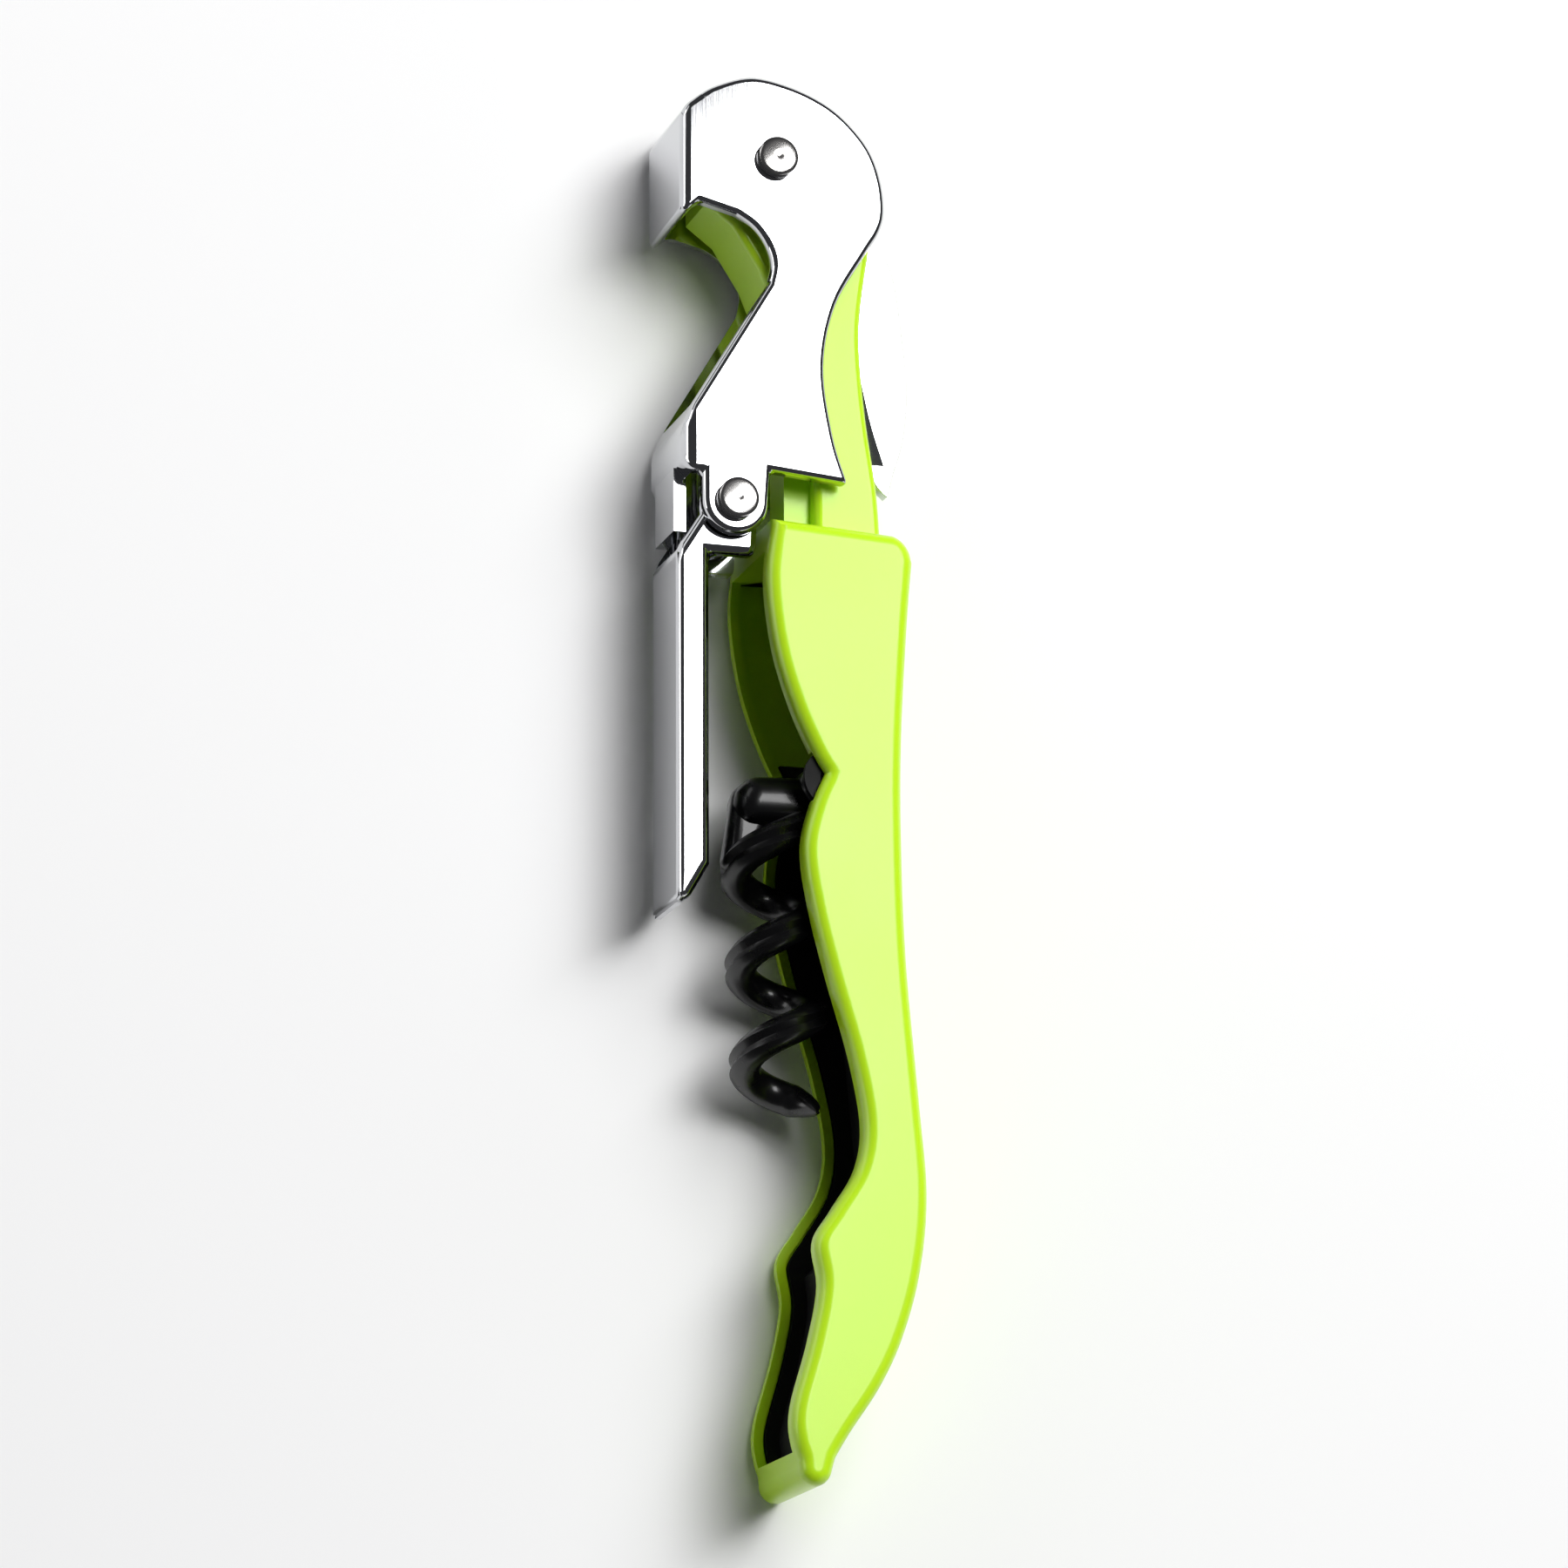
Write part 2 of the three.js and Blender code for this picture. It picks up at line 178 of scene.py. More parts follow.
class Bench:
    """Operators for modelling one mesh at a time, as by hand."""

    @staticmethod
    def clear() -> None:
        """Leaves edit mode and deselects everything."""
        if bpy.context.object and bpy.context.object.mode != "OBJECT":
            bpy.ops.object.mode_set(mode="OBJECT")
        bpy.ops.object.select_all(action="DESELECT")

    @staticmethod
    def take(piece: bpy.types.Object) -> None:
        """Makes a piece the only selected and active one."""
        Bench.clear()
        piece.select_set(True)
        bpy.context.view_layer.objects.active = piece

    @staticmethod
    def edit(piece: bpy.types.Object, mode: str = "VERT") -> bmesh.types.BMesh:
        """Opens a piece in edit mode with nothing selected.

        Args:
            piece: The piece to edit.
            mode: VERT, EDGE or FACE selection.

        Returns:
            Its edit mesh.
        """
        Bench.take(piece)
        bpy.ops.object.mode_set(mode="EDIT")
        bpy.ops.mesh.select_mode(type=mode)
        bpy.ops.mesh.select_all(action="DESELECT")
        return bmesh.from_edit_mesh(piece.data)

    @staticmethod
    def pick(piece: bpy.types.Object, mode: str,
             wanted: Callable[[bmesh.types.BMVert], bool]) -> int:
        """Selects the vertices, edges or faces whose every vertex is wanted.

        Args:
            piece: The piece to edit, left in edit mode.
            mode: VERT, EDGE or FACE.
            wanted: Says whether a vertex is wanted.

        Returns:
            How many elements are selected.
        """
        mesh = Bench.edit(piece, mode)
        pool = {"VERT": mesh.verts, "EDGE": mesh.edges, "FACE": mesh.faces}[mode]
        count = 0
        for element in pool:
            corners = [element] if mode == "VERT" else element.verts
            if all(wanted(v) for v in corners):
                element.select_set(True)
                count += 1
        bmesh.update_edit_mesh(piece.data)
        return count

    @staticmethod
    def roll(angle: float, axis: str, centre: Vector | None = None) -> None:
        """Turns what is selected about one of the frame's axes.

        Args:
            angle: In radians, by the right-hand rule.
            axis: X, Y or Z.
            centre: A point on the axis, or nothing for the origin.
        """
        bpy.ops.transform.rotate(value=-angle, orient_axis=axis, orient_type="GLOBAL",
                                 center_override=centre or (0, 0, 0))

    @staticmethod
    def done(piece: bpy.types.Object) -> bpy.types.Object:
        """Puts a piece's place into its mesh and points its faces outwards."""
        Bench.edit(piece)
        bpy.ops.mesh.select_all(action="SELECT")
        bpy.ops.mesh.remove_doubles(threshold=1e-7)
        bpy.ops.mesh.normals_make_consistent(inside=False)
        Bench.take(piece)
        bpy.ops.object.transform_apply(location=True, rotation=True, scale=True)
        return piece

    @staticmethod
    def trace(name: str, outline: Sequence[Point], low: float, high: float) -> bpy.types.Object:
        """Draws an outline edge by edge, fills it and extrudes it to a slab.

        Args:
            name: The new piece's name.
            outline: The closed outline, in millimetres.
            low: The slab's underside from the mid-plane.
            high: The slab's top from the mid-plane.

        Returns:
            The slab.
        """
        Bench.clear()
        bpy.ops.mesh.primitive_plane_add(size=MM, location=place(*outline[0], low))
        piece = bpy.context.object
        piece.name = name
        bpy.ops.object.mode_set(mode="EDIT")
        bpy.ops.mesh.select_mode(type="VERT")
        bpy.ops.mesh.select_all(action="SELECT")
        bpy.ops.mesh.merge(type="CENTER")
        for (x0, y0), (x1, y1) in zip(outline, outline[1:]):
            step = ((x1 - x0) * MM, (y1 - y0) * MM, 0)
            bpy.ops.mesh.extrude_vertices_move(TRANSFORM_OT_translate={"value": step})
        mesh = bmesh.from_edit_mesh(piece.data)
        bpy.ops.mesh.select_all(action="DESELECT")
        for vert in mesh.verts:
            vert.select_set(len(vert.link_edges) < 2)
        bmesh.update_edit_mesh(piece.data)
        bpy.ops.mesh.edge_face_add()
        bpy.ops.mesh.select_all(action="SELECT")
        bpy.ops.mesh.edge_face_add()
        rise = {"value": (0, 0, (high - low) * MM)}
        bpy.ops.mesh.extrude_region_move(TRANSFORM_OT_translate=rise)
        return Bench.done(piece)

    @staticmethod
    def block(name: str, x: Point, y: Point, z: Point) -> bpy.types.Object:
        """Returns a block between two limits each way, in millimetres."""
        corners = [(x[0], y[0]), (x[1], y[0]), (x[1], y[1]), (x[0], y[1])]
        return Bench.trace(name, corners, z[0], z[1])

    @staticmethod
    def turned(name: str, profile: Sequence[Point], centre: Point,
               sides: int = 48) -> bpy.types.Object:
        """Spins a profile of (radius, height) points round an axis along the thickness.

        Args:
            name: The new piece's name.
            profile: The closed profile, in millimetres, height from the mid-plane.
            centre: The axis.
            sides: How many steps the turn has.

        Returns:
            The turned piece.
        """
        Bench.clear()
        start = place(centre[0] + profile[0][0], centre[1], profile[0][1])
        bpy.ops.mesh.primitive_plane_add(size=MM, location=start)
        piece = bpy.context.object
        piece.name = name
        bpy.ops.object.mode_set(mode="EDIT")
        bpy.ops.mesh.select_mode(type="VERT")
        bpy.ops.mesh.select_all(action="SELECT")
        bpy.ops.mesh.merge(type="CENTER")
        for (r0, z0), (r1, z1) in zip(profile, list(profile[1:]) + [profile[0]]):
            step = ((r1 - r0) * MM, 0, (z1 - z0) * MM)
            bpy.ops.mesh.extrude_vertices_move(TRANSFORM_OT_translate={"value": step})
        bpy.ops.mesh.select_all(action="SELECT")
        bpy.ops.mesh.remove_doubles(threshold=1e-8)
        bpy.ops.mesh.spin(steps=sides, angle=math.tau, center=place(*centre), axis=(0, 0, 1))
        bpy.ops.mesh.select_all(action="SELECT")
        bpy.ops.mesh.remove_doubles(threshold=1e-7)
        bpy.ops.mesh.delete_loose()
        return Bench.done(piece)

    @staticmethod
    def pin(name: str, centre: Point, radius: float, low: float, high: float,
            sides: int = 48) -> bpy.types.Object:
        """Returns a plain round bar along the thickness."""
        ring = arc(centre, radius, 0, 360, sides)[:-1]
        return Bench.trace(name, ring, low, high)

    @staticmethod
    def modifier(piece: bpy.types.Object, kind: str, **settings: object) -> None:
        """Adds one modifier with its settings and applies it."""
        Bench.take(piece)
        bpy.ops.object.modifier_add(type=kind)
        added = piece.modifiers[-1]
        for key, value in settings.items():
            setattr(added, key, value)
        bpy.ops.object.modifier_apply(modifier=added.name)

    @staticmethod
    def combine(piece: bpy.types.Object, way: Combine, *tools: bpy.types.Object) -> None:
        """Joins tools to a piece or cuts them from it, and throws the tools away.

        Args:
            piece: The piece that stays.
            way: What the tools do to it.
            tools: The pieces used up.
        """
        for tool in tools:
            Bench.modifier(piece, "BOOLEAN", object=tool, operation=way.value, solver="EXACT")
            bpy.data.objects.remove(tool)

    @staticmethod
    def round_edges(piece: bpy.types.Object, width: float, segments: int = 2,
                    angle: float = 40.0) -> None:
        """Rounds every edge sharper than an angle."""
        Bench.modifier(piece, "BEVEL", width=width * MM, segments=segments,
                       limit_method="ANGLE", angle_limit=math.radians(angle),
                       miter_outer="MITER_ARC", harden_normals=False)

    @staticmethod
    def bevel(piece: bpy.types.Object, wanted: Callable[[bmesh.types.BMEdge], bool],
              width: float, segments: int) -> None:
        """Rounds chosen edges with the bevel operator.

        Args:
            piece: The piece.
            wanted: Says whether an edge is rounded.
            width: The radius in millimetres.
            segments: How many faces make the round.
        """
        mesh = Bench.edit(piece, "EDGE")
        for edge in mesh.edges:
            edge.select_set(wanted(edge))
        bmesh.update_edit_mesh(piece.data)
        bpy.ops.mesh.bevel(offset=width * MM, segments=segments, affect="EDGES",
                           clamp_overlap=False)
        Bench.clear()

    @staticmethod
    def shade(piece: bpy.types.Object, angle: float = 35.0) -> None:
        """Shades a piece smooth but for its sharp edges, with level cheeks."""
        Bench.take(piece)
        bpy.ops.object.shade_smooth_by_angle(angle=math.radians(angle))
        Bench.modifier(piece, "WEIGHTED_NORMAL", keep_sharp=True, weight=100)


def height(vert: bmesh.types.BMVert) -> float:
    """Returns a vertex's height from the mid-plane, in millimetres."""
    return (vert.co.z - DATUM.z) / MM


def ahead(vert: bmesh.types.BMVert) -> float:
    """Returns a vertex's distance towards the spine from the rivet, in millimetres."""
    return (vert.co.x - DATUM.x) / MM


def along(vert: bmesh.types.BMVert) -> float:
    """Returns a vertex's distance towards the head from the rivet, in millimetres."""
    return (vert.co.y - DATUM.y) / MM


def is_sharp(edge: bmesh.types.BMEdge) -> bool:
    """Says whether the faces beside an edge meet at more than 40 degrees."""
    return edge.calc_face_angle(0.0) > math.radians(40)


def on_rim(half: float) -> Callable[[bmesh.types.BMEdge], bool]:
    """Returns a test for edges that lie in one of two cheeks at a half-thickness."""
    def test(edge: bmesh.types.BMEdge) -> bool:
        first, second = (height(v) for v in edge.verts)
        return abs(abs(first) - half) < 0.01 and abs(first - second) < 0.01
    return test


def on_fold(front: float, half: float, low: float = -BIG * 3,
            high: float = BIG) -> Callable[[bmesh.types.BMEdge], bool]:
    """Returns a test for the edges where a web meets its side plates, between two ends."""
    def test(edge: bmesh.types.BMEdge) -> bool:
        return all(abs(ahead(v) - front) < 0.01 and abs(abs(height(v)) - half) < 0.01
                   and low < along(v) < high for v in edge.verts)
    return test


# ---------------------------------------------------------------- shader groups


class Nodes:
    """Writes shader nodes into a tree."""

    def __init__(self, tree: bpy.types.NodeTree) -> None:
        """Starts on a tree."""
        self.tree = tree

    def add(self, kind: str, inputs: dict[str | int, object] | None = None,
            **settings: object) -> bpy.types.Node:
        """Adds a node.

        Args:
            kind: The node's type name after "ShaderNode".
            inputs: A value or an output socket for each input.
            settings: Its other properties.

        Returns:
            The node.
        """
        node = self.tree.nodes.new("ShaderNode" + kind)
        for key, value in settings.items():
            setattr(node, key, value)
        for key, value in (inputs or {}).items():
            if isinstance(value, bpy.types.NodeSocket):
                self.tree.links.new(value, node.inputs[key])
            else:
                node.inputs[key].default_value = value
        return node

    def math(self, operation: str, first: object, second: object = 0.0,
             clamp: bool = False) -> bpy.types.NodeSocket:
        """Returns the result of one piece of arithmetic."""
        node = self.add("Math", {0: first, 1: second}, operation=operation, use_clamp=clamp)
        return node.outputs[0]


class Effect(Enum):
    """The shared surface effects."""

    GRAIN = "surface_grain"
    WEAR = "edge_wear_and_painted_reflection"
    HAIRLINES = "hairlines"


def socket(tree: bpy.types.NodeTree, name: str, inward: bool, kind: str,
           value: object = None) -> None:
    """Adds a named socket to a shader group."""
    made = tree.interface.new_socket(
        name=name, in_out="INPUT" if inward else "OUTPUT", socket_type="NodeSocket" + kind)
    if value is not None:
        made.default_value = value


def start_group(effect: Effect) -> tuple[bpy.types.NodeTree, Nodes]:
    """Starts a shader group for an effect."""
    tree = bpy.data.node_groups.new(effect.value, "ShaderNodeTree")
    return tree, Nodes(tree)


def grain_group() -> bpy.types.NodeTree:
    """Builds the fine skin of a moulded or coated surface: a height and a slow mottle."""
    tree, n = start_group(Effect.GRAIN)
    socket(tree, "Scale", True, "Float", 4000.0)
    socket(tree, "Mottle Scale", True, "Float", 90.0)
    socket(tree, "Height", False, "Float")
    socket(tree, "Mottle", False, "Float")
    given = n.tree.nodes.new("NodeGroupInput").outputs
    where = n.add("TexCoord").outputs["Object"]
    fine = n.add("TexNoise", {"Vector": where, "Scale": given["Scale"], "Detail": 3.0})
    slow = n.add("TexNoise", {"Vector": where, "Scale": given["Mottle Scale"], "Detail": 4.0})
    out = n.tree.nodes.new("NodeGroupOutput")
    tree.links.new(fine.outputs["Fac"], out.inputs["Height"])
    tree.links.new(slow.outputs["Fac"], out.inputs["Mottle"])
    return tree


def wear_and_reflection_group() -> bpy.types.NodeTree:
    """Builds a mask of rubbed edges, from how sharply the surface turns; on plated metal it also carries
    a painted dark reflection along the edges.
    """
    tree, n = start_group(Effect.WEAR)
    socket(tree, "Reach", True, "Float", 0.0004)
    socket(tree, "Patchiness", True, "Float", 300.0)
    socket(tree, "Mask", False, "Float")
    given = n.tree.nodes.new("NodeGroupInput").outputs
    where = n.add("TexCoord").outputs["Object"]
    true_normal = n.add("NewGeometry").outputs["Normal"]
    rounded = n.add("Bevel", {"Radius": given["Reach"]}, samples=6).outputs["Normal"]
    match = n.add("VectorMath", {0: true_normal, 1: rounded}, operation="DOT_PRODUCT")
    turn = n.math("MULTIPLY", n.math("SUBTRACT", 1.0, match.outputs["Value"]), 6.0, clamp=True)
    patches = n.add("TexNoise", {"Vector": where, "Scale": given["Patchiness"], "Detail": 5.0})
    broken = n.add("MapRange", {"Value": patches.outputs["Fac"], "From Min": 0.42,
                                "From Max": 0.62}).outputs["Result"]
    out = n.tree.nodes.new("NodeGroupOutput")
    tree.links.new(n.math("MULTIPLY", turn, broken), out.inputs["Mask"])
    return tree


def hairline_group() -> bpy.types.NodeTree:
    """Builds thin straight scratches, as a height."""
    tree, n = start_group(Effect.HAIRLINES)
    socket(tree, "Scale", True, "Float", 1.0)
    socket(tree, "Turn", True, "Float", 0.0)
    socket(tree, "Height", False, "Float")
    given = n.tree.nodes.new("NodeGroupInput").outputs
    where = n.add("TexCoord").outputs["Object"]
    axes = n.add("CombineXYZ", {"Z": given["Turn"]}).outputs[0]
    turned = n.add("VectorRotate", {"Vector": where, "Rotation": axes},
                   rotation_type="EULER_XYZ").outputs[0]
    stretched = n.add("VectorMath", {0: turned, 1: (9000.0, 160.0, 9000.0)},
                      operation="MULTIPLY").outputs[0]
    lines = n.add("TexNoise", {"Vector": stretched, "Scale": given["Scale"], "Detail": 2.0})
    out = n.tree.nodes.new("NodeGroupOutput")
    tree.links.new(lines.outputs["Fac"], out.inputs["Height"])
    return tree


class Effects:
    """Builds each shared effect once and places it in materials."""

    _makers: dict[Effect, Callable[[], bpy.types.NodeTree]] = {
        Effect.GRAIN: grain_group,
        Effect.WEAR: wear_and_reflection_group,
        Effect.HAIRLINES: hairline_group,
    }
    _made: dict[Effect, bpy.types.NodeTree] = {}

    @classmethod
    def put(cls, n: Nodes, effect: Effect, **values: float) -> bpy.types.Node:
        """Places an effect in a material.

        Args:
            n: The material's nodes.
            effect: Which effect.
            values: Its inputs, with _ for a space.

        Returns:
            The group node.
        """
        if effect not in cls._made:
            cls._made[effect] = cls._makers[effect]()
        node = n.tree.nodes.new("ShaderNodeGroup")
        node.node_tree = cls._made[effect]
        for key, value in values.items():
            node.inputs[key.replace("_", " ")].default_value = value
        return node


def new_material(name: str) -> tuple[bpy.types.Material, Nodes, bpy.types.Node]:
    """Starts a material and returns it, its nodes and its surface shader."""
    material = bpy.data.materials.new(name)
    material.use_nodes = True
    material.node_tree.nodes.clear()
    n = Nodes(material.node_tree)
    surface = n.add("BsdfPrincipled")
    output = n.add("OutputMaterial", {"Surface": surface.outputs[0]})
    output.location = (300, 0)
    return material, n, surface


def colour(red: float, green: float, blue: float) -> tuple[float, float, float, float]:
    """Turns display red, green and blue from 0 to 255 into linear values."""
    linear = []
    for value in (red, green, blue):
        share = value / 255
        linear.append(share / 12.92 if share <= 0.04045 else ((share + 0.055) / 1.055) ** 2.4)
    return linear[0], linear[1], linear[2], 1.0


@dataclass(frozen=True)
class MouldedLime:
    """Satin lime plastic whose colour wanders at random between two limes."""

    face: tuple[float, float, float] = (196, 240, 32)
    deep: tuple[float, float, float] = (186, 234, 20)
    roughness: float = 0.34
    skin: float = 0.06

    def make(self) -> bpy.types.Material:
        """Returns the material."""
        material, n, surface = new_material("moulded_lime")
        grain = Effects.put(n, Effect.GRAIN, Scale=5200.0, Mottle_Scale=70.0)
        mix = n.add("Mix", {"Factor": grain.outputs["Mottle"], "A": colour(*self.deep),
                            "B": colour(*self.face)}, data_type="RGBA")
        n.tree.links.new(mix.outputs["Result"], surface.inputs["Base Color"])
        rough = n.add("MapRange", {"Value": grain.outputs["Mottle"],
                                   "To Min": self.roughness - 0.05,
                                   "To Max": self.roughness + 0.06}).outputs["Result"]
        n.tree.links.new(rough, surface.inputs["Roughness"])
        bump = n.add("Bump", {"Height": grain.outputs["Height"], "Strength": self.skin,
                              "Distance": 0.00005})
        n.tree.links.new(bump.outputs["Normal"], surface.inputs["Normal"])
        surface.inputs["Coat Weight"].default_value = 0.35
        surface.inputs["Coat Roughness"].default_value = 0.18
        surface.inputs["Subsurface Weight"].default_value = 0.15
        surface.inputs["Subsurface Radius"].default_value = (0.6, 1.0, 0.2)
        surface.inputs["Subsurface Scale"].default_value = 0.0006
        return material


@dataclass(frozen=True)
class PlatedMetal:
    """Polished metal with faint hairlines and slightly rubbed, rougher edges, darkened along the edges as
    a painted dark reflection.
    """

    name: str
    tint: tuple[float, float, float] = (202, 203, 206)
    roughness: float = 0.06
    scratch: float = 0.05
    turn: float = 0.0

    def make(self) -> bpy.types.Material:
        """Returns the material."""
        material, n, surface = new_material(self.name)
        surface.inputs["Metallic"].default_value = 1.0
        edge_mask = Effects.put(n, Effect.WEAR, Reach=0.00025, Patchiness=400.0)
        grain = Effects.put(n, Effect.GRAIN, Scale=1800.0, Mottle_Scale=140.0)
        lines = Effects.put(n, Effect.HAIRLINES, Scale=1.0, Turn=self.turn)
        # Painted reflection: the edge mask darkens the tint, standing in for the dark reflections of
        # rounded chrome edges.
        painted_edge_reflection = tuple(0.82 * c for c in colour(*self.tint)[:3]) + (1.0,)
        mix = n.add("Mix", {"Factor": edge_mask.outputs["Mask"], "A": colour(*self.tint),
                            "B": painted_edge_reflection}, data_type="RGBA")
        n.tree.links.new(mix.outputs["Result"], surface.inputs["Base Color"])
        rough = n.add("MapRange", {"Value": grain.outputs["Mottle"],
                                   "To Min": self.roughness * 0.7,
                                   "To Max": self.roughness * 1.5}).outputs["Result"]
        worn = n.math("ADD", rough, n.math("MULTIPLY", edge_mask.outputs["Mask"], 0.12))
        n.tree.links.new(worn, surface.inputs["Roughness"])
        bump = n.add("Bump", {"Height": lines.outputs["Height"], "Strength": self.scratch,
                              "Distance": 0.00002})
        n.tree.links.new(bump.outputs["Normal"], surface.inputs["Normal"])
        return material


@dataclass(frozen=True)
class BlackCoat:
    """Black coated steel: glossy on the worm, plainer on the liner."""

    name: str
    tint: tuple[float, float, float] = (14, 14, 15)
    roughness: float = 0.16
    peel: float = 0.12
    coat: float = 0.6
    gloss: float = 0.5

    def make(self) -> bpy.types.Material:
        """Returns the material."""
        material, n, surface = new_material(self.name)
        grain = Effects.put(n, Effect.GRAIN, Scale=1500.0, Mottle_Scale=260.0)
        edge_mask = Effects.put(n, Effect.WEAR, Reach=0.0002, Patchiness=600.0)
        grey = tuple(min(1.0, 7 * c) for c in colour(*self.tint)[:3]) + (1.0,)
        mix = n.add("Mix", {"Factor": n.math("MULTIPLY", edge_mask.outputs["Mask"], 0.35),
                            "A": colour(*self.tint), "B": grey}, data_type="RGBA")
        n.tree.links.new(mix.outputs["Result"], surface.inputs["Base Color"])
        rough = n.add("MapRange", {"Value": grain.outputs["Mottle"],
                                   "To Min": self.roughness * 0.8,
                                   "To Max": self.roughness * 1.4}).outputs["Result"]
        n.tree.links.new(rough, surface.inputs["Roughness"])
        bump = n.add("Bump", {"Height": grain.outputs["Height"], "Strength": self.peel,
                              "Distance": 0.00003})
        n.tree.links.new(bump.outputs["Normal"], surface.inputs["Normal"])
        surface.inputs["Coat Weight"].default_value = self.coat
        surface.inputs["Coat Roughness"].default_value = 0.06
        surface.inputs["Specular IOR Level"].default_value = self.gloss
        return material


@dataclass(frozen=True)
class Finishes:
    """Every finish of the tool."""

    lime: MouldedLime = MouldedLime()
    chrome: PlatedMetal = PlatedMetal("lever_chrome")
    rivet: PlatedMetal = PlatedMetal("rivet_nickel", (212, 210, 208), 0.16, 0.04)
    blade: PlatedMetal = PlatedMetal("blade_steel", (226, 228, 230), 0.12, 0.25, 1.45)
    spring: PlatedMetal = PlatedMetal("spring_steel", (168, 170, 174), 0.24, 0.2)
    brass: PlatedMetal = PlatedMetal("spacer_brass", (214, 176, 92), 0.2, 0.15)
    liner: BlackCoat = BlackCoat("liner_black", (13, 13, 14), 0.5, 0.2, 0.0, 0.25)
    worm: BlackCoat = BlackCoat("worm_black", (7, 7, 8), 0.26, 0.1, 0.2)
    nylon: BlackCoat = BlackCoat("spacer_nylon", (26, 26, 28), 0.45, 0.2, 0.0)


def dress(piece: bpy.types.Object, material: bpy.types.Material) -> None:
    """Gives a piece one material all over."""
    piece.data.materials.clear()
    piece.data.materials.append(material)


def fit(piece: bpy.types.Object, body: Body, slot: Slot, material: bpy.types.Material,
        *stands_for: str) -> bpy.types.Object:
    """Dresses a finished piece and rides it on its body.

    Args:
        piece: The piece, with its place in its mesh.
        body: The body that it moves with.
        slot: The record's material slot; not used.
        material: Its material.
        stands_for: The nodes that it replaces.

    Returns:
        The piece.
    """
    dress(piece, material)
    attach(piece, body.value)
    if stands_for:
        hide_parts(*stands_for)
    LOG.info("%s: %d faces on %s", piece.name, len(piece.data.polygons), body.value)
    return piece


# ---------------------------------------------------------------- the grip


